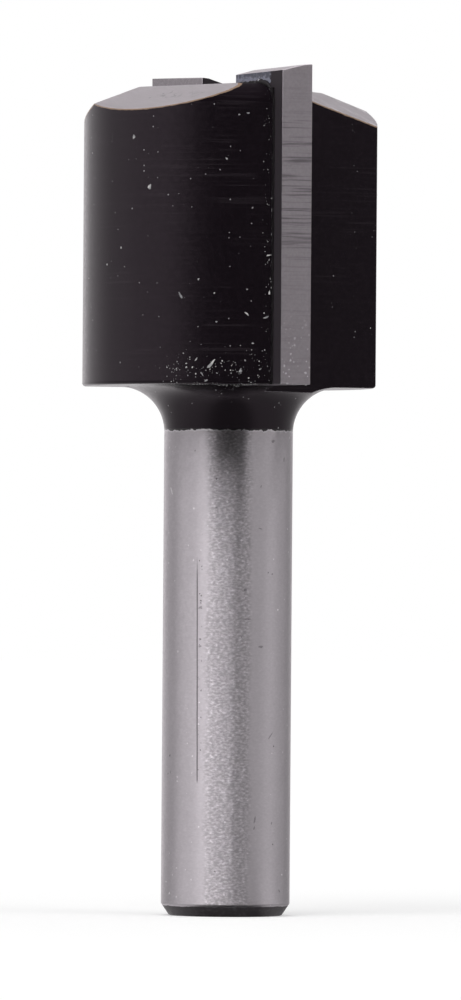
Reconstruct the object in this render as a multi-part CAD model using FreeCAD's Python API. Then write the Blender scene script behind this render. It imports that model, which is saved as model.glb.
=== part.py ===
import FreeCAD, Part
import math
import os

# A straight two-flute router bit with brazed carbide tips.
# It stands on the flat end of its shank. The shank's axis is the Z axis, Z = 0 is the shank's end,
# and the cutting edges lie over the X axis. Seen from above, the bit turns anticlockwise.
# Sizes are in millimetres and angles in degrees.

# Shank and neck
shank_diameter = 8.0
shank_length = 32.8             # from the shank's end to the underside of the head
shank_chamfer_width = 0.50      # taken off the radius at the shank's end
shank_chamfer_height = 0.75
shank_end_rounding = 0.15
neck_fillet_radius = 2.8        # where the shank runs into the underside of the head

# Head
head_edge_rounding = 0.2        # round the underside
head_corner_rounding = 1.2      # round the top
flute_count = 2

# Carbide tips
cutting_diameter = 20.0
tip_length = 19.65              # along the axis
tip_width = 5.3                 # from the cutting edge inwards, along the rake face
tip_thickness = 1.9
hook_angle = 7.0                # lean of the rake face from the radius
side_clearance_angle = 8.5      # fall of the outer flank behind the cutting edge
end_land_width = 0.5            # narrow land behind the end cutting edge
end_land_angle = 4.0
end_clearance_angle = 14.0      # fall of the end flank behind the land
dish_angle = 1.5                # fall of the end cutting edge towards the axis

# How far the cutting edges stand out of the steel that carries them
edge_above_steel = 1.15
edge_beyond_steel = 0.875

# Gullets, which are milled a little past the underside and leave a ledge in the neck
gullet_opening_angle = 57.0     # from the cutting edge to the heel of the next lobe
gullet_floor_angle = 78.7       # of the gullet's floor, from the radius to the cutting edge
gullet_root_radius = 1.2
gullet_run_out = 0.35

# Relief facets ground on the top of each lobe: where each starts, how steep it falls and which way
back_relief_start = 5.87        # from the axis
back_relief_angle = 25.8
back_relief_heading = -70.7     # from the radius to the lobe's own cutting edge
heel_relief_start = 3.78
heel_relief_angle = 26.1
heel_relief_heading = -146.7

# Braze: a film behind and inside each tip, with a bead where the film comes out. The bead grows
# along the top of the tip's back, from its inner end to the rim, and is thin down the side.
braze_film = 0.10
inner_bead_radius = 0.15
rim_bead_radius = 0.40
side_bead_radius = 0.14

# Levels and radii that follow from the sizes above
shank_radius = shank_diameter / 2
cutting_radius = cutting_diameter / 2
head_radius = cutting_radius - edge_beyond_steel
underside = shank_length
tip_top = underside + tip_length
head_top = tip_top - edge_above_steel
gullet_end = underside - gullet_run_out
clear_above = tip_top + cutting_diameter    # cutters run out to this level
clear_out = 2 * cutting_diameter            # and as far as this to the side

origin = FreeCAD.Vector(0, 0, 0)
up = FreeCAD.Vector(0, 0, 1)


def tan(angle):
    return math.tan(math.radians(angle))


def heading(angle):
    """The unit vector in plan at an angle from +X."""
    return FreeCAD.Vector(math.cos(math.radians(angle)), math.sin(math.radians(angle)), 0)


def at_level(point, z):
    """The same place in plan, at another level."""
    return FreeCAD.Vector(point.x, point.y, z)


def flat_face(points):
    """A plane face on a closed outline of straight edges."""
    return Part.Face(Part.makePolygon(points + points[:1]))


def upright_prism(points, bottom, top):
    """A prism on an outline in plan, between two levels."""
    return flat_face([at_level(point, bottom) for point in points]).extrude(up * (top - bottom))


def on_lobe(shape, lobe):
    """A copy of a shape made for the first lobe, turned about the axis to another lobe."""
    copy = shape.copy()
    copy.rotate(origin, up, 360.0 / flute_count * lobe)
    return copy


# Directions on the first lobe, whose cutting edge is at +X: outwards along its rake face, back
# from the rake face into the lobe, and out along the floor of the gullet in front of it.
outwards = heading(hook_angle)
backwards = heading(hook_angle - 90)
along_floor = heading(gullet_floor_angle)
cutting_edge = heading(0) * cutting_radius
heel_corner = heading(gullet_opening_angle) * head_radius


def tip_point(inwards, behind):
    """A place in plan, from the first cutting edge: inwards along the rake face, and behind it."""
    return cutting_edge - outwards * inwards + backwards * behind


def turned_blank():
    """Shank, neck and head, turned in one piece, with the edges broken."""
    neck_start = underside - neck_fillet_radius
    neck_rim = shank_radius + neck_fillet_radius
    fillet_middle = neck_fillet_radius * math.sin(math.radians(45))
    end_rim = shank_radius - shank_chamfer_width

    def at(radius, z):
        return FreeCAD.Vector(radius, 0, z)

    outline = [
        Part.LineSegment(at(0, 0), at(end_rim, 0)),
        Part.LineSegment(at(end_rim, 0), at(shank_radius, shank_chamfer_height)),
        Part.LineSegment(at(shank_radius, shank_chamfer_height), at(shank_radius, neck_start)),
        Part.Arc(at(shank_radius, neck_start), at(neck_rim - fillet_middle, neck_start + fillet_middle),
                 at(neck_rim, underside)),
        Part.LineSegment(at(neck_rim, underside), at(head_radius, underside)),
        Part.LineSegment(at(head_radius, underside), at(head_radius, head_top)),
        Part.LineSegment(at(head_radius, head_top), at(0, head_top)),
        Part.LineSegment(at(0, head_top), at(0, 0)),
    ]
    profile = Part.Face(Part.Wire([piece.toShape() for piece in outline]))
    blank = profile.revolve(origin, up, 360)
    for radius, z, rounding in ((end_rim, 0, shank_end_rounding), (head_radius, underside, head_edge_rounding),
                                (head_radius, head_top, head_corner_rounding)):
        blank = blank.makeFillet(rounding, circular_edges(blank, radius, z))
    return blank


def circular_edges(shape, radius, z):
    """The round edges of a turned shape at one radius and level."""
    found = []
    for edge in shape.Edges:
        if isinstance(edge.Curve, Part.Circle):
            same_radius = abs(edge.Curve.Radius - radius) < 1e-6
            same_level = abs(edge.Curve.Center.z - z) < 1e-6
            if same_radius and same_level:
                found.append(edge)
    return found


def gullet_cutter():
    """The gullet in front of the first tip: rake plane, round root and flat floor."""
    across = heel_corner - cutting_edge
    opening = outwards.cross(along_floor).z
    root = cutting_edge + outwards * (across.cross(along_floor).z / opening)
    half_angle = (gullet_floor_angle - hook_angle) / 2
    into_gullet = heading(hook_angle + half_angle)
    tangent_length = gullet_root_radius / tan(half_angle)
    root_centre = root + into_gullet * (gullet_root_radius / math.sin(math.radians(half_angle)))
    root_start = at_level(root + outwards * tangent_length, gullet_end)
    root_middle = at_level(root_centre - into_gullet * gullet_root_radius, gullet_end)
    root_end = at_level(root + along_floor * tangent_length, gullet_end)
    rake_out = root_start + outwards * clear_out
    floor_out = root_end + along_floor * clear_out
    outline = [
        Part.LineSegment(rake_out, root_start),
        Part.Arc(root_start, root_middle, root_end),
        Part.LineSegment(root_end, floor_out),
        Part.LineSegment(floor_out, rake_out),
    ]
    wire = Part.Wire([piece.toShape() for piece in outline])
    return Part.Face(wire).extrude(up * (clear_above - gullet_end))


def seat_cutter():
    """The seat that the first tip is brazed into, open to its gullet, to the outside and to the top."""
    inner = tip_width + braze_film
    back = tip_thickness + braze_film
    front = -gullet_root_radius
    corners = [tip_point(inner, front), tip_point(inner, back), tip_point(-clear_out, back),
               tip_point(-clear_out, front)]
    return upright_prism(corners, underside, clear_above)


def facet_cutter(start, angle, direction):
    """What is ground off above a facet that starts in the flat top and falls one way."""
    fall = heading(direction)
    side = heading(direction + 90) * clear_out
    level = at_level(fall * start, head_top)
    foot = level + fall * clear_out - up * clear_out * tan(angle)
    rise = up * clear_above
    section = [level - side, foot - side, foot + rise - side, level + rise - side]
    return flat_face(section).extrude(side * 2)


def heel_side():
    """Everything on the first lobe's side of its own heel, which the next gullet's floor cuts off."""
    heel = on_lobe(Part.Vertex(heel_corner), -1).Point
    line = heading(gullet_floor_angle - 360.0 / flute_count) * clear_out
    into_lobe = heading(gullet_floor_angle - 360.0 / flute_count + 90) * clear_out
    return upright_prism([heel - line, heel + line, heel + line + into_lobe, heel - line + into_lobe],
                         underside, clear_above)


def cutter_body():
    """The turned blank with its gullets, its seats and the facets ground on its top."""
    back_facet = facet_cutter(back_relief_start, back_relief_angle, back_relief_heading)
    heel_facet = facet_cutter(heel_relief_start, heel_relief_angle, heel_relief_heading)
    heel_facet = heel_facet.common(heel_side())
    body = turned_blank()
    for lobe in range(flute_count):
        for cutter in (gullet_cutter(), seat_cutter(), back_facet, heel_facet):
            body = body.cut(on_lobe(cutter, lobe))
    return body.removeSplitter()


def end_grind(behind, fall, angle):
    """What is ground off the tip's end above a plane that starts behind the rake face."""
    start = at_level(tip_point(0, behind), tip_top - fall)
    inwards = (outwards * -1 - up * tan(dish_angle)) * clear_out
    back = (backwards - up * tan(angle)) * clear_out
    plane = flat_face([start + inwards + back, start + inwards - back, start - inwards - back,
                       start - inwards + back])
    return plane.extrude(up * 2 * clear_above)


def carbide_tip():
    """A flat carbide plate, ground on its outer flank and on its end."""
    flank_fall = tip_thickness * tan(hook_angle + side_clearance_angle)
    plate = upright_prism([tip_point(0, 0), tip_point(tip_width, 0), tip_point(tip_width, tip_thickness),
                           tip_point(flank_fall, tip_thickness)], underside, clear_above)
    land_fall = end_land_width * tan(end_land_angle)
    plate = plate.cut(end_grind(0, 0, end_land_angle))
    return plate.cut(end_grind(end_land_width, land_fall, end_clearance_angle))


def braze(tip, body):
    """The braze of the first tip: its film in the seat, and the bead round the tip's back."""
    inner = tip_width + braze_film
    back = tip_thickness + braze_film
    film = upright_prism([tip_point(inner, 0), tip_point(inner, back), tip_point(0, back), tip_point(0, 0)],
                         underside, head_top)
    film = film.common(turned_blank())

    # The bead follows the corner between the tip's back and the turned surface of the head.
    back_from_axis = cutting_edge.dot(backwards) + tip_thickness
    rim_from_edge = cutting_edge.dot(outwards) - math.sqrt(head_radius ** 2 - back_from_axis ** 2)
    bend = head_corner_rounding * (1 - math.sin(math.radians(45)))
    top_inner = at_level(tip_point(tip_width, tip_thickness), head_top)
    top_outer = at_level(tip_point(rim_from_edge + head_corner_rounding, tip_thickness), head_top)
    round_middle = at_level(tip_point(rim_from_edge + bend, tip_thickness), head_top - bend)
    side_top = at_level(tip_point(rim_from_edge, tip_thickness), head_top - head_corner_rounding)
    side_bottom = at_level(side_top, underside + head_edge_rounding)
    path = Part.Wire([Part.Arc(top_outer, round_middle, side_top).toShape(),
                      Part.LineSegment(side_top, side_bottom).toShape()])
    ring = Part.Wire(Part.makeCircle(side_bead_radius, top_outer, outwards))
    side_bead = path.makePipeShell([ring], True, False)
    top_length = top_inner.distanceToPoint(top_outer)
    top_bead = Part.makeCone(inner_bead_radius, rim_bead_radius, top_length, top_inner, outwards)
    rim_bead = Part.makeSphere(rim_bead_radius, top_outer)
    end_front = at_level(tip_point(tip_width, 0), head_top)
    end_bead = Part.makeCylinder(inner_bead_radius, tip_thickness, end_front, backwards)
    corner_bead = Part.makeSphere(inner_bead_radius, top_inner)
    beads = [side_bead, top_bead, rim_bead, end_bead, corner_bead]
    return film.fuse(beads).cut(tip).cut(body).removeSplitter()


def main():
    os.makedirs("parts", exist_ok=True)
    body = cutter_body()
    tip = carbide_tip()
    joint = braze(tip, body)
    nodes = {"cutter_body": body}
    for lobe, side in enumerate(("front", "rear")):
        nodes["carbide_tip_" + side] = on_lobe(tip, lobe)
        nodes["braze_" + side] = on_lobe(joint, lobe)
    for name, shape in nodes.items():
        shape.exportStep("parts/" + name + ".step")
        box = shape.BoundBox
        print(name, "solids", len(shape.Solids), "valid", shape.isValid(), "volume", round(shape.Volume, 2),
              "x", round(box.XMin, 2), round(box.XMax, 2), "y", round(box.YMin, 2), round(box.YMax, 2),
              "z", round(box.ZMin, 2), round(box.ZMax, 2))


main()
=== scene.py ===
import math

import bmesh
import bpy
from mathutils import Matrix, Vector


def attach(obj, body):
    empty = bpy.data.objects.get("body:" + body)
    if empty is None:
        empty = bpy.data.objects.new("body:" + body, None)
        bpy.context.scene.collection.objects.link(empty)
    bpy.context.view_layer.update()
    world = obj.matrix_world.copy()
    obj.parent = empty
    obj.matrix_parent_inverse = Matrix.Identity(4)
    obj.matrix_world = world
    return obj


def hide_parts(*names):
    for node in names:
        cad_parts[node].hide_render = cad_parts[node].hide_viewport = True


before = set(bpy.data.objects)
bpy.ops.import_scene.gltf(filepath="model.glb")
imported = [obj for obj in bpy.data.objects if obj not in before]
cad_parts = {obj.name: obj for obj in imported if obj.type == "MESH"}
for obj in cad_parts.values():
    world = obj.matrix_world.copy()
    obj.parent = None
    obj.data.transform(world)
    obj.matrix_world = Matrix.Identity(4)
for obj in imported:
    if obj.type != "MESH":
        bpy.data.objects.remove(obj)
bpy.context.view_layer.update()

scene = bpy.context.scene
mm = 0.001
degree = math.pi / 180

# Camera. It stands well back from the bit, a little below the middle of its height, with a long lens,
# so the bit is seen almost square on and its flat top isn't seen. The bit leans a touch in the picture.
camera_bearing = -29.9
camera_distance = 600 * mm
camera_height = 18.5 * mm
camera_lean = 0.42
picture_height = 62.15 * mm
aim_height = 25.8 * mm
aim_right = 0.15 * mm
sensor_height = 36

towards_camera = Vector((math.cos(camera_bearing * degree), math.sin(camera_bearing * degree), 0))
picture_right = Vector((-towards_camera.y, towards_camera.x, 0))
camera_place = towards_camera * camera_distance + Vector((0, 0, camera_height))
aim = picture_right * aim_right + Vector((0, 0, aim_height))
camera_data = bpy.data.cameras.new("camera")
camera_data.sensor_fit = "VERTICAL"
camera_data.sensor_height = sensor_height
camera_data.lens = sensor_height * camera_distance / picture_height
camera_data.clip_start = 0.01
camera_data.clip_end = 20
camera = bpy.data.objects.new("camera", camera_data)
facing = (aim - camera_place).to_track_quat("-Z", "Y").to_matrix().to_4x4()
camera.matrix_world = Matrix.Translation(camera_place) @ facing @ Matrix.Rotation(camera_lean * degree, 4, "Z")
scene.collection.objects.link(camera)
scene.camera = camera
scene.view_settings.view_transform = "Standard"


# Finishes that the steel body and other pieces share: fine lines left by turning and grinding, paint and
# metal worn along their edges, and specks of dust. Each is a shader group, placed with its own values.
def join(tree, sockets, inputs):
    """Set a node's inputs to values, or join them to other nodes' outputs."""
    for name, value in inputs.items():
        if isinstance(value, bpy.types.NodeSocket):
            tree.links.new(value, sockets[name])
        else:
            sockets[name].default_value = value


def put(tree, kind, inputs=None, **settings):
    """A new node with its settings and its inputs."""
    made = tree.nodes.new(kind)
    for name, value in settings.items():
        setattr(made, name, value)
    join(tree, made.inputs, inputs or {})
    return made


def math_of(tree, operation, *values):
    """The result of a Math node."""
    return put(tree, "ShaderNodeMath", dict(enumerate(values)), operation=operation).outputs[0]


def row_of(tree, operation, values):
    """Values taken together, one after another, by Math nodes of one kind."""
    result = values[0]
    for value in values[1:]:
        result = math_of(tree, operation, result, value)
    return result


def plus(tree, *values):
    return row_of(tree, "ADD", values)


def minus(tree, *values):
    return row_of(tree, "SUBTRACT", values)


def times(tree, *values):
    return row_of(tree, "MULTIPLY", values)


def dot(tree, first, second):
    return put(tree, "ShaderNodeVectorMath", {0: first, 1: second}, operation="DOT_PRODUCT").outputs["Value"]


def noise(tree, vector, scale=1.0, detail=2.0):
    return put(tree, "ShaderNodeTexNoise", {"Vector": vector, "Scale": scale, "Detail": detail}).outputs[0]


def rise(tree, value, low, high, least=0.0, most=1.0):
    """A smooth step from least at low to most at high."""
    inputs = {"Value": value, "From Min": low, "From Max": high, "To Min": least, "To Max": most}
    return put(tree, "ShaderNodeMapRange", inputs, interpolation_type="SMOOTHSTEP").outputs["Result"]


def new_group(name, inputs, outputs):
    tree = bpy.data.node_groups.new(name, "ShaderNodeTree")
    for label, value in inputs.items():
        socket = tree.interface.new_socket(name=label, in_out="INPUT", socket_type="NodeSocketFloat")
        socket.default_value = value
    for label, kind in outputs.items():
        tree.interface.new_socket(name=label, in_out="OUTPUT", socket_type=kind)
    place = put(tree, "ShaderNodeTexCoord").outputs["Object"]
    return tree, place, tree.nodes.new("NodeGroupInput").outputs, tree.nodes.new("NodeGroupOutput").inputs


turning_lines, place, given, out = new_group(
    "turning_lines", {"Around": 150, "Along": 9000}, {"Height": "NodeSocketFloat"})
scales = {0: given["Around"], 1: given["Around"], 2: given["Along"]}
scales = put(turning_lines, "ShaderNodeCombineXYZ", scales).outputs[0]
wound = put(turning_lines, "ShaderNodeVectorMath", {0: place, 1: scales}, operation="MULTIPLY").outputs[0]
join(turning_lines, out, {"Height": noise(turning_lines, wound, 1.0, 3.0)})

wear_begins, wear_ends = 0.27, 0.34
edge_wear, place, given, out = new_group(
    "edge_wear", {"Width": 0.08 * mm, "Grain": 5000, "Amount": 0.3},
    {"Mask": "NodeSocketFloat", "Normal": "NodeSocketVector"})
rounded = put(edge_wear, "ShaderNodeBevel", {"Radius": given["Width"]}, samples=6).outputs["Normal"]
flat = put(edge_wear, "ShaderNodeNewGeometry").outputs["Normal"]
bend = minus(edge_wear, 1.0, dot(edge_wear, rounded, flat))
rag = times(edge_wear, noise(edge_wear, place, given["Grain"], 3.0), given["Amount"])
worn = rise(edge_wear, plus(edge_wear, bend, rag), wear_begins, wear_ends)
join(edge_wear, out, {"Mask": worn, "Normal": rounded})

speck_bend = 0.10 * mm
specks, place, given, out = new_group(
    "specks", {"Scale": 4000, "Share": 0.1, "Size": 0.3}, {"Mask": "NodeSocketFloat"})
bent = put(specks, "ShaderNodeTexNoise", {"Vector": place, "Scale": 9000.0, "Detail": 1.0}).outputs["Color"]
bent = put(specks, "ShaderNodeVectorMath", {0: bent, "Scale": speck_bend}, operation="SCALE").outputs[0]
bent = put(specks, "ShaderNodeVectorMath", {0: place, 1: bent}, operation="ADD").outputs[0]
cells = put(specks, "ShaderNodeTexVoronoi", {"Vector": bent, "Scale": given["Scale"]})
lot = put(specks, "ShaderNodeSeparateColor", {0: cells.outputs["Color"]}).outputs
chosen = math_of(specks, "LESS_THAN", lot[0], given["Share"])
reach = times(specks, given["Size"], plus(specks, lot[1], 0.3))
inside = rise(specks, math_of(specks, "DIVIDE", cells.outputs["Distance"], reach), 1.0, 0.7)
join(specks, out, {"Mask": times(specks, inside, chosen)})

# Cutter body. Shank, neck and head are turned from one steel bar. The gullets and the seats of the tips
# are milled into the head, which is then painted black. The facets on its top are ground after that, and
# the shank is ground bright, so the paint ends with an uneven edge in the neck.
shank_radius = 4.0 * mm
head_radius = 9.12 * mm
cutting_radius = 10.0 * mm
underside = 32.8 * mm
head_top = 51.3 * mm
neck_fillet = 2.8 * mm
head_corner = 1.2 * mm
head_edge = 0.2 * mm
sides_around = 360
sharp_bend = 15
end_chamfer = (0.5 * mm, 0.75 * mm)
hook = 7.0
gullet_opening = 57.0
gullet_floor = 78.7
gullet_root = 1.2 * mm
gullet_end = underside - 0.35 * mm
tip_width = 5.3 * mm
tip_thickness = 1.9 * mm
braze_film = 0.10 * mm
far = 40 * mm
heel_room = 0.5 * mm
back_relief = (5.87 * mm, 25.8, -70.7)
heel_relief = (3.78 * mm, 26.1, -146.7)
paint_edge = 30.1 * mm
black_edge = 0.62 * mm
# The band of grinding chatter on the shank, where its glints are also painted in as lighter streaks (painted
# highlights).
chatter_and_glint_bearing = -28.9
chatter_and_glint_edge = (0.950, 0.996)
chatter_and_glint_least = 0.15
scratch_bearing = -57.7
scratch_foot, scratch_top = 8.2 * mm, 22.2 * mm
scratch_width = 0.055 * mm
scratch_drift = 0.0075
scratch_wander = 0.03 * mm
burr_offset = 0.22 * mm
burr_reach = 0.16 * mm
shank_marks = (
    # bearing from the camera, height, length, width and lean from the horizontal, dark or light
    (-61.0, 26.3, 0.60, 0.12, -62, "light"), (-31.0, 28.8, 0.12, 0.10, 60, "dark"),
    (43.5, 29.4, 0.34, 0.20, 10, "dark"), (59.5, 28.3, 0.30, 0.12, 85, "dark"),
    (30.5, 26.6, 0.20, 0.08, 70, "dark"), (-10.2, 25.3, 0.18, 0.14, 20, "dark"),
    (30.0, 24.0, 0.34, 0.08, -15, "dark"), (67.5, 24.0, 0.14, 0.14, 0, "light"),
    (43.7, 21.2, 0.16, 0.14, 60, "dark"), (16.0, 20.2, 0.26, 0.18, 0, "dark"),
    (-24.7, 19.1, 0.30, 0.16, 25, "dark"), (-24.7, 16.7, 0.24, 0.14, 10, "dark"),
    (18.5, 18.4, 0.50, 0.07, 0, "dark"), (51.5, 19.0, 0.14, 0.14, 0, "light"),
    (12.5, 17.3, 0.10, 0.10, 0, "dark"), (31.5, 16.7, 0.36, 0.16, 5, "dark"),
    (43.0, 11.2, 0.66, 0.10, 48, "dark"), (26.5, 6.0, 0.55, 0.13, 78, "dark"),
    (26.0, 5.5, 0.26, 0.10, 70, "dark"), (45.0, 5.8, 0.22, 0.12, 80, "dark"),
    (56.5, 1.6, 0.26, 0.12, -45, "dark"), (-64.0, 8.8, 0.16, 0.12, 20, "dark"),
    (-59.5, 8.9, 0.22, 0.09, 85, "dark"), (-60.0, 1.4, 0.20, 0.15, 60, "light"),
    (-66.5, 2.1, 0.14, 0.12, 0, "light"), (61.0, 2.6, 0.14, 0.12, 0, "light"),
    (150.0, 12.0, 0.50, 0.10, 55, "dark"), (205.0, 22.0, 0.40, 0.12, -30, "light"),
    (175.0, 6.5, 0.30, 0.14, 10, "dark"), (118.0, 18.0, 0.34, 0.10, 80, "dark"),
    (240.0, 26.0, 0.30, 0.12, 35, "dark"), (262.0, 10.0, 0.26, 0.12, 0, "light"),
)
paint_color = (0.0045, 0.0028, 0.0044)
paint_sheen = (1.0, 0.84, 0.96, 1)
paint_lines = 0.0045
streak_color = (0.0120, 0.0092, 0.0116)
neck_color = (0.0110, 0.0082, 0.0105)
black_colors = (0.034, 0.029, 0.033), (0.066, 0.060, 0.066)
steel_color = (0.62, 0.595, 0.62)
# Lighter steel for light nicks and the paint's lip, and for painted highlights that stand in for glints.
glint_and_bright_steel_color = (0.95, 0.93, 0.95)
dent_color = (0.12, 0.11, 0.12)
ground_colors = (0.385, 0.362, 0.380), (0.452, 0.425, 0.447)
ground_mark_color = (0.24, 0.22, 0.24)
ground_edge_color = (0.80, 0.78, 0.80)
squiggle_color = (0.20, 0.19, 0.20)
scrape_color = (0.85, 0.83, 0.85)
worn_color = (0.42, 0.41, 0.43)
worn_roughness = 0.4
rim_color = (0.30, 0.21, 0.15)
rim_width = 0.085 * mm
dust_color = (0.30, 0.29, 0.30)
dust_roughness = 0.8


def largest(tree, *values):
    return row_of(tree, "MAXIMUM", values)


def unsigned(tree, value):
    return math_of(tree, "ABSOLUTE", value)


def far_along(tree, place, direction):
    """How far a place lies along a direction."""
    return dot(tree, place, tuple(direction))


def height_of(tree, place):
    return put(tree, "ShaderNodeSeparateXYZ", {0: place}).outputs["Z"]


def stretched(tree, vector, around, along):
    """Coordinates for a pattern that is scaled one way round the bit's axis and another along it."""
    scale = (around, around, along)
    return put(tree, "ShaderNodeMapping", {"Vector": vector, "Scale": scale}).outputs["Vector"]


def between(tree, share, first, second):
    """A number between two others."""
    return put(tree, "ShaderNodeMix", {0: share, 2: first, 3: second}, data_type="FLOAT").outputs[0]


def tint(tree, share, first, second):
    """A colour between two others."""
    inputs = {0: share}
    for place, color in ((6, first), (7, second)):
        inputs[place] = color if isinstance(color, bpy.types.NodeSocket) else (*color, 1)
    return put(tree, "ShaderNodeMix", inputs, data_type="RGBA").outputs[2]


def scaled(color, share):
    return [share * part for part in color]


def bump(tree, height, depth, normal=None):
    """The normal of a surface with a relief of this depth in millimetres."""
    inputs = {"Height": height, "Strength": 1.0, "Distance": depth * mm}
    if normal:
        inputs["Normal"] = normal
    return put(tree, "ShaderNodeBump", inputs).outputs["Normal"]


def effect(tree, group, **values):
    """The outputs of a shared effect, placed with a material's own values."""
    return put(tree, "ShaderNodeGroup", values, node_tree=group).outputs


def new_material(name):
    """A material, its tree, its shader's inputs and the piece's own coordinates."""
    material = bpy.data.materials.new(name)
    material.use_nodes = True
    tree = material.node_tree
    place = put(tree, "ShaderNodeTexCoord").outputs["Object"]
    return material, tree, tree.nodes["Principled BSDF"].inputs, place


def new_piece(name, mesh, materials):
    """An object at the origin with its materials, in the scene."""
    piece = bpy.data.objects.new(name, mesh)
    for material in materials:
        piece.data.materials.append(material)
    scene.collection.objects.link(piece)
    return piece


def heading(angle):
    """The unit vector in plan at an angle in degrees from +X."""
    return Vector((math.cos(angle * degree), math.sin(angle * degree), 0))


outwards = heading(hook)
backwards = heading(hook - 90)
along_floor = heading(gullet_floor)
into_lobe = heading(gullet_floor - 90)
cutting_edge = heading(0) * cutting_radius
heel_corner = heading(gullet_opening) * head_radius
heel = -heel_corner - into_lobe * heel_room


def facet_plane(start, angle, direction, turn):
    """The upright of a facet's plane and its distance from the origin."""
    fall = heading(direction + turn)
    upright = fall * math.sin(angle * degree) + Vector((0, 0, math.cos(angle * degree)))
    return upright, upright.dot(fall * start + Vector((0, 0, head_top)))


def ground_rim(tree, place):
    """The narrow scorched line that grinding the facets leaves along the paint's edge."""
    rim = 0.0
    ragged = times(tree, noise(tree, place, 2500, 3.0), rim_width)
    for turn in (0, 180):
        for relief, lobe_only in ((back_relief, False), (heel_relief, True)):
            upright, level = facet_plane(*relief, turn)
            near = plus(tree, far_along(tree, place, upright), ragged)
            line = rise(tree, near, level - 0.5 * rim_width, level - 0.2 * rim_width)
            if lobe_only:
                inwards = far_along(tree, place, heading(gullet_floor - 90 + turn))
                line = times(tree, line, math_of(tree, "GREATER_THAN", inwards, heel.dot(into_lobe)))
            rim = largest(tree, rim, line)
    return rim


def paint_finish(name, wear, shine, roughness, crust):
    """Black paint over turned or milled steel, with fine lines showing through, dust and worn edges."""
    material, tree, shader, place = new_material(name)
    lines = effect(tree, turning_lines, Around=120, Along=7000)["Height"]
    worn = effect(tree, edge_wear, Width=0.06 * mm, Amount=wear)
    fine = effect(tree, specks, Scale=3400, Share=0.12, Size=0.15)["Mask"]
    peel = noise(tree, place, 3500, 2.0)
    on_neck = rise(tree, height_of(tree, place), underside, underside - 0.5 * mm)
    streaks = times(tree, rise(tree, lines, 0.54, 0.66), rise(tree, noise(tree, place, 260, 1.0), 0.45, 0.60))
    color = tint(tree, on_neck, paint_color, neck_color)
    color = tint(tree, streaks, color, streak_color)
    color = tint(tree, fine, color, dust_color)
    color = tint(tree, worn["Mask"], color, worn_color)
    gloss = rise(tree, peel, 0.3, 0.7, roughness, roughness + 0.06)
    gloss = between(tree, worn["Mask"], gloss, worn_roughness)
    skin = bump(tree, peel, crust, worn["Normal"])
    join(tree, shader, {
        "Base Color": tint(tree, ground_rim(tree, place), color, rim_color),
        "Metallic": worn["Mask"],
        "Roughness": between(tree, fine, gloss, dust_roughness),
        "Normal": bump(tree, lines, paint_lines, skin),
        "IOR": 1.45,
        "Specular IOR Level": 0.5 * shine,
        "Specular Tint": paint_sheen,
    })
    return material


paint = paint_finish("black_paint", wear=0.30, shine=1.0, roughness=0.20, crust=0.0015)
scorched_paint = paint_finish("scorched_paint", wear=0.30, shine=0.12, roughness=0.64, crust=0.012)
neck_paint = paint_finish("neck_paint", wear=0.12, shine=0.62, roughness=0.21, crust=0.0015)

ground_steel, tree, shader, place = new_material("ground_steel")
across_grind = {"Vector": place, "Rotation": (0, 0, 0.5), "Scale": (900, 9000, 2500)}
grind = noise(tree, put(tree, "ShaderNodeMapping", across_grind).outputs[0], 1.0, 3.0)
marks = effect(tree, specks, Scale=2400, Share=0.07, Size=0.22)["Mask"]
worn = effect(tree, edge_wear, Width=0.05 * mm, Amount=0.28)
patch = noise(tree, place, 330, 1.0)
squiggles = rise(tree, unsigned(tree, minus(tree, noise(tree, place, 1500, 2.0), 0.5)), 0.030, 0.012)
squiggles = times(tree, squiggles, rise(tree, patch, 0.54, 0.60), 0.6)
down_heel, over_heel = heading(heel_relief[2]) * 700, heading(heel_relief[2] + 90) * 6000
scrapes = {0: far_along(tree, place, down_heel), 1: far_along(tree, place, over_heel)}
scrapes = noise(tree, put(tree, "ShaderNodeCombineXYZ", scrapes).outputs[0], 1.0, 3.0)
on_heel = 0.0
for turn in (0, 180):
    upright, level = facet_plane(*heel_relief, turn)
    off = unsigned(tree, minus(tree, far_along(tree, place, upright), level))
    on_heel = largest(tree, on_heel, rise(tree, off, 0.05 * mm, 0.02 * mm))
scrapes = times(tree, rise(tree, scrapes, 0.56, 0.66), on_heel, rise(tree, patch, 0.30, 0.44, 0.2, 1.0))
color = tint(tree, rise(tree, grind, 0.3, 0.7), *ground_colors)
color = tint(tree, times(tree, marks, 0.7), color, ground_mark_color)
color = tint(tree, squiggles, color, squiggle_color)
color = tint(tree, scrapes, color, scrape_color)
join(tree, shader, {
    "Base Color": tint(tree, worn["Mask"], color, ground_edge_color),
    "Metallic": 1.0,
    "Roughness": rise(tree, grind, 0.2, 0.8, 0.28, 0.42),
    "Normal": bump(tree, grind, 0.002, worn["Normal"]),
})


def small_marks(tree, place, kind):
    """Nicks and smears of one kind, each an oval with a ragged edge."""
    marks = 0.0
    ragged = times(tree, noise(tree, place, 9000, 2.0), 1.6)
    up = Vector((0, 0, 1))
    for bearing, z, length, width, lean, tone in shank_marks:
        if tone != kind:
            continue
        out, side = heading(camera_bearing + bearing), heading(camera_bearing + bearing + 90)
        along = (side * math.cos(lean * degree) + up * math.sin(lean * degree)) / (0.5 * length * mm)
        over = (up * math.cos(lean * degree) - side * math.sin(lean * degree)) / (0.5 * width * mm)
        middle = up * z * mm
        first = minus(tree, far_along(tree, place, along), along.dot(middle))
        second = minus(tree, far_along(tree, place, over), over.dot(middle))
        reach = plus(tree, math_of(tree, "POWER", first, 2.0), math_of(tree, "POWER", second, 2.0))
        oval = rise(tree, plus(tree, reach, ragged), 1.9, 1.2)
        oval = times(tree, oval, math_of(tree, "GREATER_THAN", far_along(tree, place, out), 0.0))
        marks = largest(tree, marks, oval)
    return marks


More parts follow.
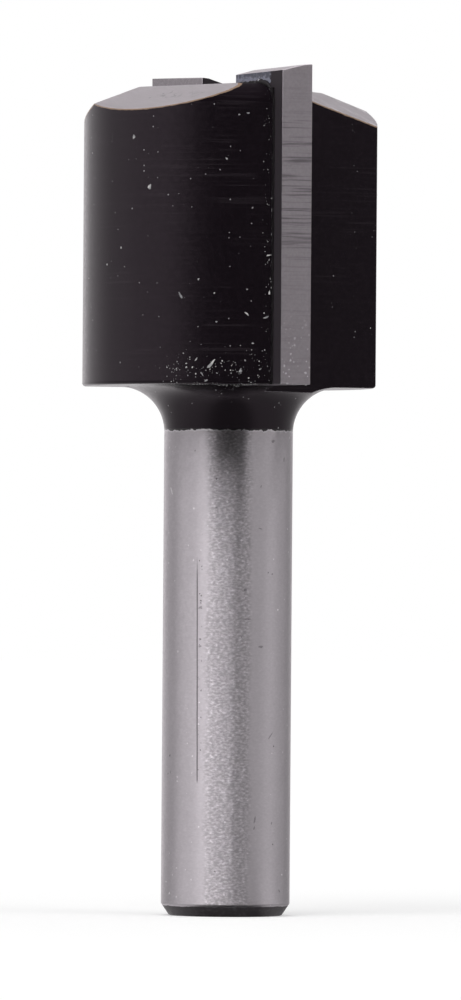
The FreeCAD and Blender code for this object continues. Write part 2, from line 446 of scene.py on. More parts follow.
shank_steel, tree, shader, place = new_material("shank_steel")
height = height_of(tree, place)
lines = effect(tree, turning_lines, Around=200, Along=6000)["Height"]
mottle = noise(tree, stretched(tree, place, 4500, 6500), 1.0, 2.0)
cloud = noise(tree, place, 260, 3.0)
pits = effect(tree, specks, Scale=1300, Share=0.12, Size=0.10)["Mask"]

from_line = far_along(tree, place, heading(scratch_bearing + 90))
wander = times(tree, noise(tree, stretched(tree, place, 0, 500), 1.0, 2.0), scratch_wander)
drift = times(tree, minus(tree, height, scratch_top), scratch_drift)
scratch = rise(tree, unsigned(tree, plus(tree, from_line, wander, drift)), scratch_width, 0.03 * mm)
near = math_of(tree, "GREATER_THAN", far_along(tree, place, heading(scratch_bearing)), 0.0)
above = rise(tree, height, scratch_foot, scratch_foot + 0.3 * mm)
below = rise(tree, height, scratch_top + 0.3 * mm, scratch_top - 1.5 * mm)
scratch = times(tree, scratch, near, above, below)
beside = rise(tree, unsigned(tree, minus(tree, from_line, burr_offset)), burr_reach, 0.5 * burr_reach)
burred = rise(tree, height, scratch_top + 1.8 * mm, scratch_top + 0.6 * mm)
burrs = effect(tree, specks, Scale=4200, Share=0.85, Size=0.28)["Mask"]
burrs = times(tree, burrs, near, above, beside, burred)
dents = largest(tree, pits, scratch, burrs, times(tree, small_marks(tree, place, "dark"), 0.65))

frayed = plus(tree, height, times(tree, noise(tree, place, 2900, 5.0), 0.44 * mm))
painted = rise(tree, frayed, paint_edge + 0.20 * mm, paint_edge + 0.22 * mm)
lip = rise(tree, frayed, paint_edge + 0.08 * mm, paint_edge + 0.18 * mm, 0.0, 0.45)

worms = noise(tree, stretched(tree, place, 4600, 8500), 1.0, 3.0)
uneven = times(tree, noise(tree, stretched(tree, place, 900, 450), 1.0, 2.0), 0.06)
# The band on the side towards the camera where the mottle of grinding chatter shows, and where its glints are
# painted in.
chatter_and_glint_band = unsigned(tree, far_along(tree, place, heading(chatter_and_glint_bearing) / shank_radius))
chatter_and_glint_band = rise(tree, plus(tree, chatter_and_glint_band, uneven), *chatter_and_glint_edge, chatter_and_glint_least, 1.0)
dull = times(tree, rise(tree, worms, 0.62, 0.36), chatter_and_glint_band)
# Painted highlights: lighter streaks and specks in the steel's colour stand in for glints of light on the
# ground surface.
painted_glint_streaks = times(tree, rise(tree, worms, 0.59, 0.73, 0.0, 0.55), chatter_and_glint_band)
glints = times(tree, effect(tree, specks, Scale=2600, Share=0.14, Size=0.17)["Mask"], 0.6)
glints_and_bright_marks = largest(tree, glints, small_marks(tree, place, "light"), painted_glint_streaks, lip)

color = tint(tree, rise(tree, cloud, 0.35, 0.7), scaled(steel_color, 0.97), steel_color)
color = tint(tree, dull, color, scaled(steel_color, 0.69))
# The shank's lighter marks: painted glints (painted highlights), with real light nicks and the paint's lip.
color = tint(tree, glints_and_bright_marks, color, glint_and_bright_steel_color)
color = tint(tree, times(tree, dents, 0.75), color, dent_color)
polish = rise(tree, mottle, 0.36, 0.64, 0.47, 0.53)
relief = minus(tree, plus(tree, mottle, times(tree, lines, 0.25)), dents)
join(tree, shader, {
    "Base Color": tint(tree, painted, color, paint_color),
    "Metallic": minus(tree, 1.0, painted),
    "Roughness": between(tree, painted, polish, 0.25),
    "Normal": bump(tree, relief, 0.008),
    "Anisotropic": 1.0,
    "Anisotropic Rotation": 0.25,
    "Tangent": put(tree, "ShaderNodeTangent", direction_type="RADIAL", axis="Z").outputs["Tangent"],
})

end_black, tree, shader, place = new_material("end_black")
frayed = plus(tree, height_of(tree, place), times(tree, noise(tree, place, 1500, 4.0), 0.16 * mm))
bare = rise(tree, frayed, black_edge + 0.07 * mm, black_edge + 0.09 * mm)
grain = noise(tree, place, 4000, 3.0)
color = tint(tree, rise(tree, grain, 0.45, 0.8), *black_colors)
join(tree, shader, {
    "Base Color": tint(tree, bare, color, steel_color),
    "Metallic": bare,
    "Roughness": rise(tree, grain, 0.3, 0.7, 0.3, 0.5),
    "Normal": bump(tree, grain, 0.003),
})


def arc(center, radius, start, end, steps):
    """Points (radius, height) of an arc in the turned profile, with angles in degrees."""
    points = []
    for step in range(steps + 1):
        angle = (start + (end - start) * step / steps) * degree
        points.append((center[0] + radius * math.cos(angle), center[1] + radius * math.sin(angle)))
    return points


def turned_mesh(name, profile, around):
    """A closed turned mesh from a profile that starts and ends on the axis."""
    bm = bmesh.new()
    rings = []
    for radius, height in profile:
        if radius < 1e-9:
            rings.append([bm.verts.new((0, 0, height))])
            continue
        ring = []
        for step in range(around):
            angle = 2 * math.pi * step / around
            ring.append(bm.verts.new((radius * math.cos(angle), radius * math.sin(angle), height)))
        rings.append(ring)
    for low, high in zip(rings, rings[1:]):
        for step in range(around):
            after = (step + 1) % around
            corners = [low[step % len(low)], low[after % len(low)]]
            corners += [high[after % len(high)], high[step % len(high)]]
            bm.faces.new(list(dict.fromkeys(corners)))
    return finished_mesh(name, bm)


def wall(bm, low, high):
    """Faces all the way round between two rows of points."""
    for step in range(len(low)):
        after = (step + 1) % len(low)
        bm.faces.new([low[step], low[after], high[after], high[step]])


def block(bm, low, high):
    """A closed solid between two rows of points."""
    bm.faces.new(low)
    bm.faces.new(high)
    wall(bm, low, high)


def prism_mesh(name, outline, climb):
    """A closed prism on a flat outline."""
    bm = bmesh.new()
    block(bm, [bm.verts.new(point) for point in outline], [bm.verts.new(point + climb) for point in outline])
    return finished_mesh(name, bm)


def finished_mesh(name, bm):
    bmesh.ops.recalc_face_normals(bm, faces=bm.faces)
    mesh = bpy.data.meshes.new(name)
    bm.to_mesh(mesh)
    bm.free()
    return mesh


def at_level(point, z):
    return Vector((point.x, point.y, z))


def tip_point(inwards, behind):
    """A place in plan, from the first cutting edge: inwards along the rake face, and behind it."""
    return cutting_edge - outwards * inwards + backwards * behind


profile = [(0, 0), (shank_radius - end_chamfer[0] - 0.1 * mm, 0)]
profile += [(shank_radius - end_chamfer[0] + 0.02 * mm, 0.05 * mm)]
profile += [(shank_radius - 0.03 * mm, end_chamfer[1] - 0.04 * mm), (shank_radius, end_chamfer[1] + 0.03 * mm)]
profile += [(shank_radius, end_chamfer[1] + 0.08 * mm), (shank_radius, underside - neck_fillet - 0.05 * mm)]
profile += arc((shank_radius + neck_fillet, underside - neck_fillet), neck_fillet, 180, 90, 24)
profile += [(shank_radius + neck_fillet + 0.05 * mm, underside)]
profile += [(head_radius - head_edge - 0.05 * mm, underside)]
profile += arc((head_radius - head_edge, underside + head_edge), head_edge, -90, 0, 8)
profile += [(head_radius, underside + head_edge + 0.05 * mm), (head_radius, head_top - head_corner - 0.05 * mm)]
profile += arc((head_radius - head_corner, head_top - head_corner), head_corner, 0, 90, 16)
profile += [(head_radius - head_corner - 0.05 * mm, head_top), (0, head_top)]
body_mesh = turned_mesh("cutter_body_finish", profile, sides_around)
body = new_piece("cutter_body_finish", body_mesh, [paint, ground_steel])

across = heel_corner - cutting_edge
root = cutting_edge + outwards * (across.cross(along_floor).z / outwards.cross(along_floor).z)
half_angle = (gullet_floor - hook) / 2
root_center = root + heading(hook + half_angle) * (gullet_root / math.sin(half_angle * degree))
tangent_length = gullet_root / math.tan(half_angle * degree)
gullet = [root + outwards * (tangent_length + far)]
root_steps = 20
for step in range(root_steps + 1):
    angle = hook - 90 + (gullet_floor - hook - 180) * step / root_steps
    gullet.append(root_center + heading(angle) * gullet_root)
gullet.append(root + along_floor * (tangent_length + far))
gullet_cut = prism_mesh("gullet", [at_level(point, gullet_end) for point in gullet], Vector((0, 0, far)))

inner = tip_width + braze_film
back = tip_thickness + braze_film
seat = [(inner, -gullet_root), (inner, back), (-far, back), (-far, -gullet_root)]
seat = [at_level(tip_point(*corner), underside) for corner in seat]
seat_cut = prism_mesh("seat", seat, Vector((0, 0, far)))


def facet_mesh(name, start, angle, direction):
    """What is ground off above a facet that starts in the flat top and falls one way."""
    fall = heading(direction)
    side = heading(direction + 90) * far
    level = at_level(fall * start, head_top)
    foot = level + fall * far - Vector((0, 0, far * math.tan(angle * degree)))
    climb = Vector((0, 0, far))
    return prism_mesh(name, [level - side, foot - side, foot + climb - side, level + climb - side], side * 2)


back_facet = facet_mesh("back_facet", *back_relief)
heel_facet = facet_mesh("heel_facet", *heel_relief)
line, lobe = along_floor * far, into_lobe * far
heel_side = [at_level(heel + way, underside) for way in (line, -line, lobe - line, lobe + line)]
heel_side = prism_mesh("heel_side", heel_side, Vector((0, 0, far)))


def final_mesh(piece):
    """The mesh of an object as its modifiers leave it."""
    bpy.context.view_layer.update()
    return bpy.data.meshes.new_from_object(piece.evaluated_get(bpy.context.evaluated_depsgraph_get()))


def boolean(piece, mesh, operation, material=None, turn=0.0):
    """Cut a mesh with another, turned about the axis, and keep the result."""
    cutter = bpy.data.objects.new("cutter", mesh.copy())
    if material:
        cutter.data.materials.append(material)
    cutter.data.transform(Matrix.Rotation(turn * degree, 4, "Z"))
    scene.collection.objects.link(cutter)
    modifier = piece.modifiers.new("cut", "BOOLEAN")
    modifier.operation = operation
    modifier.solver = "EXACT"
    modifier.material_mode = "TRANSFER"
    modifier.object = cutter
    result = final_mesh(piece)
    piece.modifiers.clear()
    piece.data = result
    bpy.data.objects.remove(cutter)


heel_cutter = new_piece("heel_cutter", heel_facet, [ground_steel])
boolean(heel_cutter, heel_side, "INTERSECT", ground_steel)
for turn in (0, 180):
    boolean(body, gullet_cut, "DIFFERENCE", paint, turn)
    boolean(body, seat_cut, "DIFFERENCE", paint, turn)
    boolean(body, back_facet, "DIFFERENCE", ground_steel, turn)
    boolean(body, heel_cutter.data, "DIFFERENCE", None, turn)
bpy.data.objects.remove(heel_cutter)
for material in (shank_steel, end_black, scorched_paint, neck_paint):
    body.data.materials.append(material)
for face in body.data.polygons:
    middle = face.center
    painted = body.data.materials[face.material_index] == paint
    on_corner = middle.z > head_top - head_corner and face.normal.z > 0.02
    behind_tip = middle.dot(backwards) * math.copysign(1, middle.dot(outwards)) > back
    if middle.z < end_chamfer[1] - 0.02 * mm:
        finish = "end_black"
    elif middle.z < paint_edge + 0.1 * mm:
        finish = "shank_steel"
    elif painted and middle.z < underside + head_edge:
        finish = "neck_paint"
    elif painted and on_corner and behind_tip:
        finish = "scorched_paint"
    else:
        continue
    face.material_index = body.data.materials.find(finish)
body.data.shade_smooth()
body.data.set_sharp_from_angle(angle=sharp_bend * degree)
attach(body, "root")
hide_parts("cutter_body")

# Carbide tips. Each is a flat plate of dark grey carbide, brazed into its seat. The back and the inner
# end were painted over with the head, and then the rake face, the flank and the end were ground bare.
tip_top = 52.45 * mm
side_clearance = 8.5
end_land_width = 0.5 * mm
end_land_angle = 4.0
end_clearance = 14.0
dish = 1.5
tip_edge = 0.03 * mm
smooth_area = 1.0 * mm * mm
bare_from = 1.75 * mm
carbide_color = (0.45, 0.42, 0.445)
carbide_score_color = (0.16, 0.15, 0.16)
carbide_dust_color = (0.75, 0.74, 0.76)
carbide_edge_color = (0.62, 0.60, 0.62)
tip_back_color = (0.27, 0.28, 0.34)
thin_paint_color = (0.0046, 0.0038, 0.0045)
thin_paint_roughness = 0.5
scored_heights = (39.5 * mm, 42.5 * mm), (49.5 * mm, 48.5 * mm)
dusty_heights = (38 * mm, 33.8 * mm)


def carbide_finish(name, tone, roughness, scoring):
    """Ground carbide, with scored lines round the axis, dust low down and worn edges."""
    material, tree, shader, place = new_material(name)
    height = height_of(tree, place)
    lines = effect(tree, turning_lines, Around=250, Along=7500)["Height"]
    worn = effect(tree, edge_wear, Width=0.05 * mm, Amount=0.28)
    dust = effect(tree, specks, Scale=4200, Share=0.5, Size=0.36)["Mask"]
    grain = noise(tree, place, 6000, 3.0)
    zone = times(tree, rise(tree, height, *scored_heights[0]), rise(tree, height, *scored_heights[1]))
    scored = times(tree, rise(tree, lines, 0.50, 0.70), between(tree, zone, 0.2 * scoring, scoring))
    low = times(tree, dust, rise(tree, height, *dusty_heights, 0.03, 1.0))
    light = scaled(carbide_color, tone)
    color = tint(tree, rise(tree, grain, 0.3, 0.7), scaled(light, 0.9), light)
    color = tint(tree, scored, color, carbide_score_color)
    color = tint(tree, low, color, carbide_dust_color)
    join(tree, shader, {
        "Base Color": tint(tree, worn["Mask"], color, carbide_edge_color),
        "Metallic": 1.0,
        "Roughness": rise(tree, grain, 0.2, 0.8, roughness - 0.06, roughness + 0.06),
        "Normal": bump(tree, lines, 0.003 * scoring, worn["Normal"]),
    })
    return material


ground_flank = carbide_finish("ground_flank", tone=1.0, roughness=0.42, scoring=0.80)
polished_rake = carbide_finish("polished_rake", tone=0.84, roughness=0.20, scoring=0.10)


def wetted_paint(name, color, roughness, turn, bare_height, thinness):
    """Paint that gives way to bare braze or carbide, with a ragged edge, above a height and inside the rim."""
    material, tree, shader, place = new_material(name)
    away = outwards if turn == 0 else -outwards
    height = height_of(tree, place)
    inwards = minus(tree, cutting_edge.dot(outwards), far_along(tree, place, away))
    ragged = times(tree, noise(tree, place, 4500, 4.0), 0.8 * mm)
    past_rim = rise(tree, plus(tree, inwards, ragged), bare_from + 0.35 * mm, bare_from + 0.5 * mm)
    on_back = rise(tree, inwards, tip_width - 0.02 * mm, tip_width - 0.06 * mm)
    high_up = rise(tree, plus(tree, height, ragged), bare_height + 0.33 * mm, bare_height + 0.38 * mm)
    clear = times(tree, past_rim, on_back, high_up)
    grain = noise(tree, place, 5000, 3.0)
    # A painted highlight: the bare metal is made lighter just above the head's top and darker higher up.
    grain = plus(tree, grain, rise(tree, height, head_top + 0.6 * mm, head_top + 0.2 * mm, -0.15, 0.15))
    metal = tint(tree, rise(tree, grain, 0.35, 0.65), scaled(color, 0.45), color)
    join(tree, shader, {
        "Base Color": tint(tree, clear, scaled(thin_paint_color, thinness), metal),
        "Metallic": clear,
        "Roughness": between(tree, clear, thin_paint_roughness, roughness),
        "Normal": bump(tree, grain, 0.004),
        "Specular IOR Level": 0.15,
    })
    return material


def tip_mesh(name):
    """The plate's corners under its two ground planes, with its edges just broken."""
    flank_slope = math.tan((hook + side_clearance) * degree)
    land_fall = end_land_width * math.tan(end_land_angle * degree)
    bm = bmesh.new()
    for behind in (0.0, end_land_width, tip_thickness):
        fall = land_fall * min(behind / end_land_width, 1)
        fall += max(behind - end_land_width, 0) * math.tan(end_clearance * degree)
        for inwards in (behind * flank_slope, tip_width):
            point = tip_point(inwards, behind)
            bm.verts.new(at_level(point, underside))
            bm.verts.new(at_level(point, tip_top - fall - inwards * math.tan(dish * degree)))
    bmesh.ops.convex_hull(bm, input=bm.verts)
    bmesh.ops.dissolve_limit(bm, angle_limit=0.5 * degree, verts=bm.verts, edges=bm.edges)
    sharp = [edge for edge in bm.edges if edge.calc_face_angle(0) > 10 * degree]
    bmesh.ops.bevel(bm, geom=sharp, offset=tip_edge, segments=2, profile=0.5, affect="EDGES")
    for face in bm.faces:
        on_back = face.normal.dot(backwards) > 0.9 or face.normal.dot(outwards) < -0.9
        on_rake = face.normal.dot(backwards) < -0.9
        face.material_index = 1 if on_back else 2 if on_rake else 0
    return finished_mesh(name, bm)


for side, turn in (("front", 0), ("rear", 180)):
    bare_height = head_top + 0.1 * mm
    painted_back = wetted_paint("tip_back_" + side, tip_back_color, 0.45, turn, bare_height, thinness=6.5)
    finishes = [ground_flank, painted_back, polished_rake]
    tip = new_piece("tip_finish_" + side, tip_mesh("tip_finish_" + side), finishes)
    tip.data.transform(Matrix.Rotation(turn * degree, 4, "Z"))
    for face in tip.data.polygons:
        face.use_smooth = face.area < smooth_area
    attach(tip, "root")
    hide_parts("carbide_tip_" + side)

# Braze. Silver braze fills the thin gap behind and inside each tip and stands out as a lumpy bead, thick
# on top next to the rim and thin down the side, where paint covers it.
inner_bead = 0.12 * mm
rim_bead = 0.28 * mm
side_bead = 0.075 * mm
bead_sides = 12
bead_step = 0.12 * mm
bead_bend = 50
bead_swells = (0.14, 0.9, 1), (0.10, 0.37, 2)
bead_ripple = 0.06
bead_end = 0.3
film_top = head_top - 0.3 * mm
braze_color = (0.40, 0.40, 0.44)

back_from_axis = cutting_edge.dot(backwards) + tip_thickness
rim = cutting_edge.dot(outwards) - math.sqrt(head_radius ** 2 - back_from_axis ** 2)


def bead_path():
    """Points and radii along the bead, from the tip's rake face over its back to the head's underside."""
    corners = [(tip_width, 0, head_top, inner_bead), (tip_width, tip_thickness, head_top, inner_bead)]
    corners += [(rim + head_corner, tip_thickness, head_top, rim_bead)]
    for offset, z in arc((0, head_top - head_corner), head_corner, 90, 0, 6)[1:]:
        size = rim_bead + (side_bead - rim_bead) * offset / head_corner
        corners.append((rim + head_corner - offset, tip_thickness, z, size))
    corners += [(rim, tip_thickness, underside + head_edge, side_bead)]
    places = [(at_level(tip_point(inwards, behind), z), size) for inwards, behind, z, size in corners]
    for (start, start_size), (end, end_size) in zip(places, places[1:]):
        steps = max(1, round((end - start).length / bead_step))
        for step in range(steps):
            share = step / steps
            yield start.lerp(end, share), start_size + (end_size - start_size) * share
    yield places[-1]


def bead_mesh(name, lumps):
    """A lumpy bead with rounded ends, and the flat film behind and inside the tip."""
    path = list(bead_path())
    bm = bmesh.new()
    rings = []
    for step, (point, size) in enumerate(path):
        before, after = path[max(step - 1, 0)][0], path[min(step + 1, len(path) - 1)][0]
        ahead = (after - before).normalized()
        across = ahead.orthogonal() if abs(ahead.dot(backwards)) > 0.99 else ahead.cross(backwards).normalized()
        upright = ahead.cross(across).normalized()
        swell = 1 + sum(share * math.sin(step * pace + lumps * shift) for share, pace, shift in bead_swells)
        ring = []
        for turn in range(bead_sides):
            angle = 2 * math.pi * turn / bead_sides
            wave = size * swell * (1 + bead_ripple * math.sin(3 * angle + step * 0.5))
            ring.append(bm.verts.new(point + (across * math.cos(angle) + upright * math.sin(angle)) * wave))
        rings.append(ring)
    for ring, after in zip(rings, rings[1:]):
        wall(bm, ring, after)
    for ring, (point, size), way in ((rings[0], path[0], -1), (rings[-1], path[-1], 1)):
        along = (path[-1][0] - path[-2][0] if way > 0 else path[1][0] - path[0][0]).normalized() * way
        pole = bm.verts.new(point + along * size * bead_end)
        for turn in range(bead_sides):
            bm.faces.new([ring[turn], ring[(turn + 1) % bead_sides], pole])
    film = [(rim, tip_thickness), (rim, back), (inner, back), (inner, 0)]
    film = [tip_point(*corner) for corner in (*film, (tip_width, 0), (tip_width, tip_thickness))]
    block(bm, *([bm.verts.new(at_level(point, z)) for point in film] for z in (underside, film_top)))
    return finished_mesh(name, bm)


for side, turn in (("front", 0), ("rear", 180)):
    name = "braze_finish_" + side
    bare_height = head_top + 0.3 * mm
    finish = wetted_paint("braze_" + side + "_finish", braze_color, 0.35, turn, bare_height, thinness=1.5)
    bead = new_piece(name, bead_mesh(name, lumps=turn / 40), [finish])
    bead.data.transform(Matrix.Rotation(turn * degree, 4, "Z"))
    bead.data.shade_smooth()
    bead.data.set_sharp_from_angle(angle=bead_bend * degree)
    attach(bead, "root")
    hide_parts("braze_" + side)

# Dust and chips. Pale grains of grit and small chips lie on the paint, most of them low on the head behind
# each tip and along the tips' backs. Thirty larger chips have places of their own.
grain_sizes = (0.014 * mm, 0.060 * mm)
grain_proportions = (0.5, 0.5, 0.3), (1.5, 1.0, 0.5)
grains_per_area = 4e4
seed = 11
densest = 600.0
seam_place = (8.575 * mm, 3.12 * mm)
seam_reach = (0.9 * mm, 0.15 * mm)
seam_crowd = 200.0
low_heights = (35.6 * mm, 33.6 * mm)
low_crowd = 260.0
left_bearing = -78
left_crowd = 14.0
chip_rise = 0.02 * mm
chip_sink = 0.01 * mm
chip_taper = 0.8
chip_corners = 9
chip_raggedness = 0.28
chips = (
    # bearing from the camera, height, length, width and lean from the horizontal
    (-40.7, 48.0, 0.28, 0.20, 80), (-32.9, 44.9, 0.36, 0.26, 75), (-19.2, 38.2, 0.50, 0.14, -60),
    (-7.0, 34.0, 0.75, 0.18, 50), (6.7, 37.1, 0.35, 0.10, -40), (14.3, 36.9, 0.40, 0.12, 20),
    (15.5, 38.4, 0.28, 0.12, 85), (4.4, 33.6, 0.24, 0.18, 30), (-5.0, 36.6, 0.14, 0.12, 0),
    (9.1, 35.3, 0.16, 0.10, 0), (-1.5, 46.6, 0.18, 0.10, -40), (-47.2, 41.2, 0.16, 0.12, 90),
    (-56.0, 40.2, 0.14, 0.12, 90), (6.7, 49.4, 0.22, 0.10, 0), (3.2, 49.3, 0.15, 0.10, 10),
    (-12.1, 39.2, 0.14, 0.10, 90), (6.7, 38.6, 0.12, 0.10, 0), (16.4, 43.5, 0.34, 0.09, 85),
    (16.4, 42.0, 0.17, 0.13, 60), (15.1, 40.7, 0.34, 0.09, 10), (16.3, 44.2, 0.13, 0.11, 0),
    (-12.8, 34.3, 0.30, 0.08, 55), (-10.5, 33.4, 0.34, 0.08, -50), (-8.8, 33.0, 0.22, 0.10, 30),
    (172.0, 43.7, 0.30, 0.20, 70), (160.0, 36.2, 0.45, 0.13, -50), (190.0, 34.3, 0.60, 0.16, 45),
    (150.0, 47.2, 0.20, 0.14, 20), (196.0, 40.7, 0.30, 0.10, 80), (179.0, 38.9, 0.16, 0.12, 0),
)

grit_colors = (0.24, 0.24, 0.25), (0.60, 0.59, 0.58)

dust, tree, shader, place = new_material("dust")
join(tree, shader, {
    "Base Color": tint(tree, rise(tree, noise(tree, place, 1400, 2.0), 0.40, 0.62), *grit_colors),
    "Roughness": 0.75,
    "Normal": bump(tree, noise(tree, place, 9000, 2.0), 0.01),
})


def on_head(bearing, height, across, up, lift):
    """A place on the head's round surface, beside a given one."""
    angle = camera_bearing + bearing + across / head_radius / degree
    return at_level(heading(angle) * (head_radius + lift), height * mm + up)


def chips_mesh(name):
    """The larger chips: thin irregular flakes bent to the head's round surface."""
    bm = bmesh.new()
    for number, (bearing, height, length, width, lean) in enumerate(chips):
        low, high = [], []
        for turn in range(chip_corners):
            angle = turn * 2 * math.pi / chip_corners
            ragged = 0.5 * mm * (1 + chip_raggedness * math.sin(2.4 * number + 2.1 * turn))
            corner = Vector((length * ragged * math.cos(angle), width * ragged * math.sin(angle)))
            corner = corner @ Matrix.Rotation(-lean * degree, 2)
            low.append(bm.verts.new(on_head(bearing, height, *corner, -chip_sink)))
            high.append(bm.verts.new(on_head(bearing, height, *(chip_taper * corner), chip_rise)))
        block(bm, low, high)
    return finished_mesh(name, bm)


def drawn(tree, seed):
    """A random number from 0 to 1 for each grain."""
    return put(tree, "FunctionNodeRandomValue", {2: 0.0, 3: 1.0, "Seed": seed}).outputs[1]


def drawn_vector(tree, seed, low, high):
    inputs = {0: low, 1: high, "Seed": seed}
    return put(tree, "FunctionNodeRandomValue", inputs, data_type="FLOAT_VECTOR").outputs[0]


scatter = bpy.data.node_groups.new("scatter_grains", "GeometryNodeTree")
scatter.interface.new_socket(name="Surface", in_out="INPUT", socket_type="NodeSocketGeometry")
for label, kind, value in (("Grains per area", "NodeSocketFloat", grains_per_area),
                           ("Smallest", "NodeSocketFloat", grain_sizes[0]),
                           ("Largest", "NodeSocketFloat", grain_sizes[1]),
                           ("Seed", "NodeSocketInt", seed)):
    scatter.interface.new_socket(name=label, in_out="INPUT", socket_type=kind).default_value = value
scatter.interface.new_socket(name="Grains", in_out="OUTPUT", socket_type="NodeSocketGeometry")
given = scatter.nodes.new("NodeGroupInput").outputs
position = put(scatter, "GeometryNodeInputPosition").outputs[0]
across, height = put(scatter, "ShaderNodeSeparateXYZ", {0: position}).outputs[1:3]

along_rake = far_along(scatter, position, outwards)
away = unsigned(scatter, along_rake)
behind = times(scatter, far_along(scatter, position, backwards), math_of(scatter, "SIGN", along_rake))
from_seam = [math_of(scatter, "POWER", minus(scatter, value, middle), 2.0)
             for value, middle in zip((away, behind), seam_place)]
from_seam = math_of(scatter, "SQRT", plus(scatter, *from_seam))
near_seam = rise(scatter, from_seam, *seam_reach, 0.0, seam_crowd)
behind_tip = times(scatter, rise(scatter, away, 3 * mm, 5 * mm), rise(scatter, behind, 2.9 * mm, 3.2 * mm))
cluster = times(scatter, rise(scatter, height, *low_heights), behind_tip, low_crowd)
to_left = unsigned(scatter, far_along(scatter, position, heading(camera_bearing + left_bearing) / head_radius))
crowd = plus(scatter, near_seam, cluster, rise(scatter, to_left, 0.86, 0.96, 1.0, left_crowd))
patchy = rise(scatter, noise(scatter, position, 800, 2.0), 0.38, 0.64, 0.08, 2.2)
wanted = math_of(scatter, "DIVIDE", times(scatter, crowd, patchy), densest)
on_paint = times(scatter, math_of(scatter, "GREATER_THAN", height, paint_edge + 0.3 * mm),
                 math_of(scatter, "LESS_THAN", height, head_top - 0.4 * mm),
                 math_of(scatter, "LESS_THAN", unsigned(scatter, across), head_radius - 0.05 * mm))

points = put(scatter, "GeometryNodeDistributePointsOnFaces",
             {"Mesh": given["Surface"], "Selection": on_paint, "Seed": given["Seed"],
              "Density": times(scatter, given["Grains per area"], densest)}).outputs
unwanted = math_of(scatter, "GREATER_THAN", drawn(scatter, 7), wanted)
kept = put(scatter, "GeometryNodeDeleteGeometry", {"Geometry": points["Points"], "Selection": unwanted},
           domain="POINT").outputs[0]
grain_shape = put(scatter, "GeometryNodeMeshIcoSphere", {"Radius": 1.0, "Subdivisions": 1}).outputs["Mesh"]
size = math_of(scatter, "POWER", drawn(scatter, 2), 3.0)
size = between(scatter, size, given["Smallest"], given["Largest"])
shape = drawn_vector(scatter, 3, *grain_proportions)
sized = put(scatter, "ShaderNodeVectorMath", {0: shape, "Scale": size}, operation="SCALE").outputs[0]
spin = drawn_vector(scatter, 5, (0, 0, 0), (0, 0, 6.28))
facing = put(scatter, "FunctionNodeRotateRotation", {0: points["Rotation"], 1: spin}, rotation_space="LOCAL")
grains = {"Points": kept, "Instance": grain_shape, "Rotation": facing.outputs[0], "Scale": sized}
grains = put(scatter, "GeometryNodeInstanceOnPoints", grains).outputs[0]
whole = put(scatter, "GeometryNodeRealizeInstances", {0: grains}).outputs[0]
dusty = put(scatter, "GeometryNodeSetMaterial", {"Geometry": whole, "Material": dust}).outputs[0]
put(scatter, "NodeGroupOutput", {0: dusty})

grit = bpy.data.objects.new("grit", body.data.copy())
scene.collection.objects.link(grit)
modifier = grit.modifiers.new("scatter", "NODES")
modifier.node_group = scatter
identifiers = {item.name: item.identifier for item in scatter.interface.items_tree if item.in_out == "INPUT"}
modifier[identifiers["Seed"]] = seed
grit_mesh = final_mesh(grit)
bpy.data.objects.remove(grit)
grit = new_piece("grit", grit_mesh, [])
loose_chips = new_piece("paint_chips", chips_mesh("paint_chips"), [dust])
for piece in (grit, loose_chips):
    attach(piece, "root")

# Floor and light. A pale floor and a white surround, with soft light from both sides. What the bright
# parts reflect is a white room, darker where the camera stands, with the main light above it on the left.
floor_reach = 3.0
floor_color = (0.8, 0.8, 0.8, 1)
floor_glow = 0.27
room_level = 0.66
room_color = (1.0, 0.965, 0.985)
level_views = ((-180, 0.95), (-155, 1.15), (-149, 0.92), (-132, 0.76), (-106, 0.60), (-92, 0.69),
               (-80, 0.65), (-52, 0.57), (-39, 0.37), (-27, 0.13), (-15, 0.05), (0, 0.04), (36, 0.06),
               (44, 0.30), (54, 0.49), (70, 0.46), (99, 0.37), (124, 0.41), (142, 0.42), (160, 0.74),
               (180, 0.93))
raised_views = ((-180, 0.63), (-166, 0.77), (-150, 0.52), (-125, 0.52), (-100, 1.32), (-71, 2.20),
                (-46, 3.50), (-30, 2.55), (-22, 0.70), (0, 0.38), (24, 0.62), (37, 0.50), (45, 0.90),
                (56, 1.20), (70, 0.88), (99, 1.12), (124, 1.34), (142, 0.74), (165, 0.36), (180, 0.60))
high_views = ((-180, 1.00), (-140, 0.62), (-124, 2.60), (-100, 1.60), (-71, 1.10), (-46, 4.80),
              (-25, 7.40), (-13, 6.40), (5, 6.80), (13, 5.20), (17, 2.40), (32, 2.30), (37, 4.60),
              (53, 2.80), (62, 0.70), (76, 0.40), (99, 2.90), (124, 6.60), (142, 1.00), (180, 0.95))
overhead = 1.2
band_climbs = (8, 18), (34, 46), (62, 74)
lamp_width = 40
lamps = (
    # name, bearing from the camera, climb above the floor and strength
    ("key", -35, 50, 0.8), ("fill", 60, 35, 0.4),
)


def room(tree, aimed, views):
    """The room's brightness by bearing, with 0 towards the camera and + to the picture's right."""
    to_right = far_along(tree, aimed, picture_right)
    to_camera = far_along(tree, aimed, towards_camera)
    turned = math_of(tree, "DIVIDE", math_of(tree, "ARCTAN2", to_right, to_camera), 2 * math.pi)
    ramp = put(tree, "ShaderNodeValToRGB", {"Fac": plus(tree, turned, 0.5)})
    while len(ramp.color_ramp.elements) < len(views):
        ramp.color_ramp.elements.new(0.5)
    for element, (angle, value) in zip(ramp.color_ramp.elements, views):
        element.position = angle / 360 + 0.5
        element.color = (*scaled(room_color, value), 1)
    return ramp.outputs["Color"]


def in_reflections(tree):
    """The rays that a shiny surface sends out, and with them the room that it shows."""
    path = put(tree, "ShaderNodeLightPath").outputs
    both = plus(tree, path["Is Glossy Ray"], path["Is Transmission Ray"])
    return path, math_of(tree, "MINIMUM", both, 1.0)


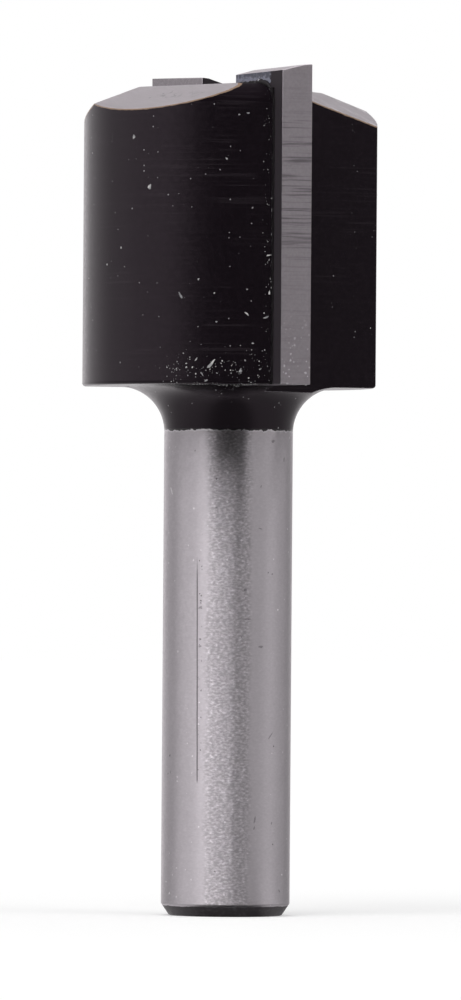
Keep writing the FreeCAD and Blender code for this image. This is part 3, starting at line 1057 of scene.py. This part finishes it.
floor_mesh = bpy.data.meshes.new("floor")
floor_mesh.from_pydata([(x * floor_reach, y * floor_reach, 0) for x, y in ((-1, -1), (1, -1), (1, 1), (-1, 1))],
                       [], [(0, 1, 2, 3)])
pale_floor, tree, shader, place = new_material("pale_floor")
path, shiny = in_reflections(tree)
join(tree, shader, {
    "Base Color": floor_color,
    "Roughness": 0.9,
    "Specular IOR Level": 0.0,
    "Emission Color": (1, 1, 1, 1),
    "Emission Strength": times(tree, path["Is Camera Ray"], floor_glow),
})
mirrored = put(tree, "ShaderNodeEmission", {"Color": room(tree, place, level_views)}).outputs[0]
plain = tree.nodes["Principled BSDF"].outputs[0]
shown = put(tree, "ShaderNodeMixShader", {0: shiny, 1: plain, 2: mirrored}).outputs[0]
tree.links.new(shown, tree.nodes["Material Output"].inputs["Surface"])
floor = new_piece("floor", floor_mesh, [pale_floor])

world = bpy.data.worlds.new("studio")
world.use_nodes = True
world.cycles.sampling_method = "NONE"
tree = world.node_tree
aimed = put(tree, "ShaderNodeTexCoord").outputs["Generated"]
climb = unsigned(tree, height_of(tree, aimed))
raised, high, above = (rise(tree, climb, math.sin(start * degree), math.sin(end * degree))
                       for start, end in band_climbs)
reflected = tint(tree, raised, room(tree, aimed, level_views), room(tree, aimed, raised_views))
reflected = tint(tree, high, reflected, room(tree, aimed, high_views))
reflected = tint(tree, above, reflected, scaled(room_color, overhead))
path, shiny = in_reflections(tree)
lit = tint(tree, shiny, (room_level, room_level, room_level), reflected)
seen = tint(tree, path["Is Camera Ray"], lit, (1, 1, 1))
join(tree, tree.nodes["Background"].inputs, {"Color": seen, "Strength": 1.0})
scene.world = world

for name, aside, climb, strength in lamps:
    lamp_data = bpy.data.lights.new(name, "SUN")
    lamp_data.energy = strength
    lamp_data.angle = lamp_width * degree
    lamp = bpy.data.objects.new(name, lamp_data)
    shines_from = heading(camera_bearing + aside) * math.cos(climb * degree)
    shines_from.z = math.sin(climb * degree)
    lamp.matrix_world = shines_from.to_track_quat("Z", "Y").to_matrix().to_4x4()
    lamp.visible_glossy = False
    scene.collection.objects.link(lamp)
